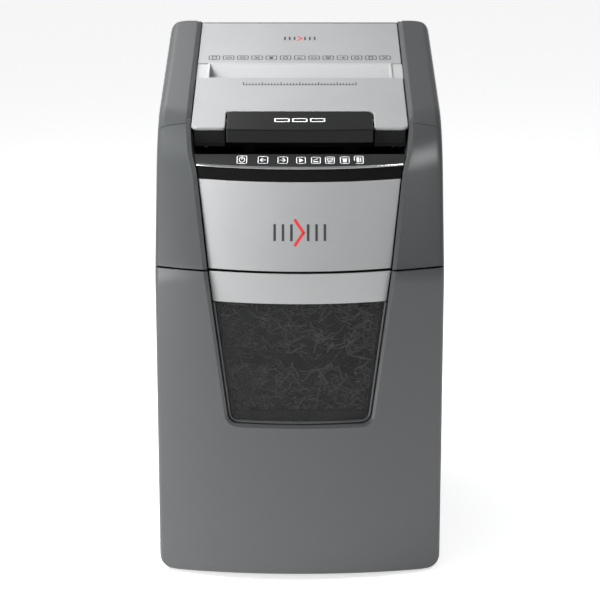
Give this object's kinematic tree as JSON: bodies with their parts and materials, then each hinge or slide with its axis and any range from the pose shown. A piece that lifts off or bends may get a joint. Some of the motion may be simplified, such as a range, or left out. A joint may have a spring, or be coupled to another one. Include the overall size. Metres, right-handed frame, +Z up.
{
  "type": "auto-feed paper shredder",
  "caption": "Office paper shredder with a stack tray under a hinged lid, a manual slot, a cutter head with feed roller, and a windowed pull-out bin.",
  "frame": {"origin": "on the floor, at the middle of the footprint", "axes": "+Z up, -Y towards the user, +X to the right seen from the front"},
  "size_m": [0.35, 0.456, 0.641],
  "materials": {
    "dark_plastic": "fine moulded texture",
    "black_plastic": "moulded",
    "handle_plastic": "satin",
    "strip_plastic": "satin",
    "silver_paint": "satin metallic paint",
    "silver_trim": "polished",
    "gloss_black": "high gloss",
    "smoked_clear": "smoked, clear",
    "bin_plastic": "moulded",
    "rubber": "matt",
    "steel": "cold rolled",
    "cutter_steel": "ground and oiled",
    "bronze": "sintered",
    "motor_steel": "black paint",
    "gear_plastic": "natural nylon",
    "board": "solder resist",
    "lens": "frosted",
    "red_plastic": "gloss"
  },
  "bodies": {
    "cabinet": {"base_tray": "black_plastic", "rubber_feet": "rubber", "cabinet_shell": "dark_plastic", "bin_rails": "steel", "deck": "black_plastic", "head_housing": "dark_plastic", "front_panel": "silver_paint", "gloss_band": "gloss_black", "trim_line": "silver_trim", "control_panel": "strip_plastic", "lamp_lenses": "lens", "control_board": "board", "recess_panel": "black_plastic", "paper_tray": "black_plastic", "entry_guides": "steel", "cutter_plates": "steel", "tie_rods": "steel", "bushings": "bronze", "stripper_combs": "dark_plastic", "motor": "motor_steel", "sensors": "black_plastic", "power_board": "board", "mains_inlet": "black_plastic", "rocker_frame": "black_plastic", "door_switch": "black_plastic", "hinge_pins": "steel", "case_screws": "steel"},
    "bin": {"bin_cover": "dark_plastic", "bin_strip": "silver_paint", "window": "smoked_clear", "window_rim": "dark_plastic", "bin_bucket": "bin_plastic"},
    "power_button": {"power_key": "black_plastic"},
    "reverse_button": {"reverse_key": "black_plastic"},
    "forward_button": {"forward_key": "black_plastic"},
    "mains_rocker": {"rocker": "red_plastic"},
    "bin_interlock": {"door_plunger": "red_plastic"},
    "front_cutter": {"cutter_shaft_front": "steel", "cutter_discs_front": "cutter_steel", "cutter_gear_front": "steel"},
    "rear_cutter": {"cutter_shaft_rear": "steel", "cutter_discs_rear": "cutter_steel", "rear_gears": "steel"},
    "reduction": {"reduction_gear": "gear_plastic"},
    "motor_shaft": {"motor_pinion": "steel"},
    "feed_roller": {"feed_shaft": "steel", "feed_tyres": "rubber", "feed_gear": "gear_plastic"},
    "lid": {"lid_arms": "dark_plastic", "lid_rear_panel": "silver_paint", "lid_front_panel": "silver_paint", "slot_throat": "silver_paint", "lid_liner": "black_plastic", "latch_axle": "steel", "latch_spring": "steel", "plate_pivots": "steel"},
    "latch": {"handle": "handle_plastic", "latch_hooks": "steel"},
    "press_plate": {"pressure_plate": "dark_plastic", "separation_pads": "rubber"}
  },
  "joints": [
    {"name": "lid_hinge", "type": "hinge", "parent": "cabinet", "child": "lid", "pos_m": [0, 0.2225, 0.61077], "axis": [-1, 0, 0], "range_deg": [0, 95]},
    {"name": "latch_pivot", "type": "hinge", "parent": "lid", "child": "latch", "pos_m": [0, -0.08, 0.54872], "axis": [-1, 0, 0], "range_deg": [0, 8], "stiffness_Nm_per_rad": 0.6, "springref_deg": -14.32},
    {"name": "plate_pivot", "type": "hinge", "parent": "lid", "child": "press_plate", "pos_m": [0, -0.022, 0.54415], "axis": [1, 0, 0], "range_deg": [0, 12], "stiffness_Nm_per_rad": 0.5, "springref_deg": -17.19},
    {"name": "bin_slide", "type": "slide", "parent": "cabinet", "child": "bin", "axis": [0, -1, 0], "range_m": [0, 0.33]},
    {"name": "power_press", "type": "slide", "parent": "cabinet", "child": "power_button", "axis": [0, 0.284, -0.9588], "range_m": [0, 0.0012], "stiffness_N_per_m": 900, "springref_m": -0.0006},
    {"name": "reverse_press", "type": "slide", "parent": "cabinet", "child": "reverse_button", "axis": [0, 0.284, -0.9588], "range_m": [0, 0.0012], "stiffness_N_per_m": 900, "springref_m": -0.0006},
    {"name": "forward_press", "type": "slide", "parent": "cabinet", "child": "forward_button", "axis": [0, 0.284, -0.9588], "range_m": [0, 0.0012], "stiffness_N_per_m": 900, "springref_m": -0.0006},
    {"name": "rocker_pivot", "type": "hinge", "parent": "cabinet", "child": "mains_rocker", "pos_m": [0.07, 0.218, 0.424], "axis": [1, 0, 0], "range_deg": [-8, 8]},
    {"name": "interlock_press", "type": "slide", "parent": "cabinet", "child": "bin_interlock", "axis": [0, 1, 0], "range_m": [0, 0.003], "stiffness_N_per_m": 300, "springref_m": -0.002},
    {"name": "rear_cutter_spin", "type": "hinge", "parent": "cabinet", "child": "rear_cutter", "pos_m": [0, 0.069, 0.452], "axis": [1, 0, 0], "continuous": true},
    {"name": "front_cutter_spin", "type": "hinge", "parent": "cabinet", "child": "front_cutter", "pos_m": [0, 0.031, 0.452], "axis": [1, 0, 0], "continuous": true},
    {"name": "reduction_spin", "type": "hinge", "parent": "cabinet", "child": "reduction", "pos_m": [0, 0.11776, 0.47744], "axis": [1, 0, 0], "continuous": true},
    {"name": "motor_spin", "type": "hinge", "parent": "cabinet", "child": "motor_shaft", "pos_m": [0, 0.15, 0.436], "axis": [1, 0, 0], "continuous": true},
    {"name": "feed_spin", "type": "hinge", "parent": "cabinet", "child": "feed_roller", "pos_m": [0, 0.01988, 0.50791], "axis": [1, 0, 0], "continuous": true}
  ],
  "couplings": [
    {"joint": "front_cutter_spin", "follows": "rear_cutter_spin", "ratio": -1},
    {"joint": "reduction_spin", "follows": "rear_cutter_spin", "ratio": -2.6667},
    {"joint": "motor_spin", "follows": "rear_cutter_spin", "ratio": 10.667},
    {"joint": "feed_spin", "follows": "rear_cutter_spin", "ratio": 0.5}
  ]
}
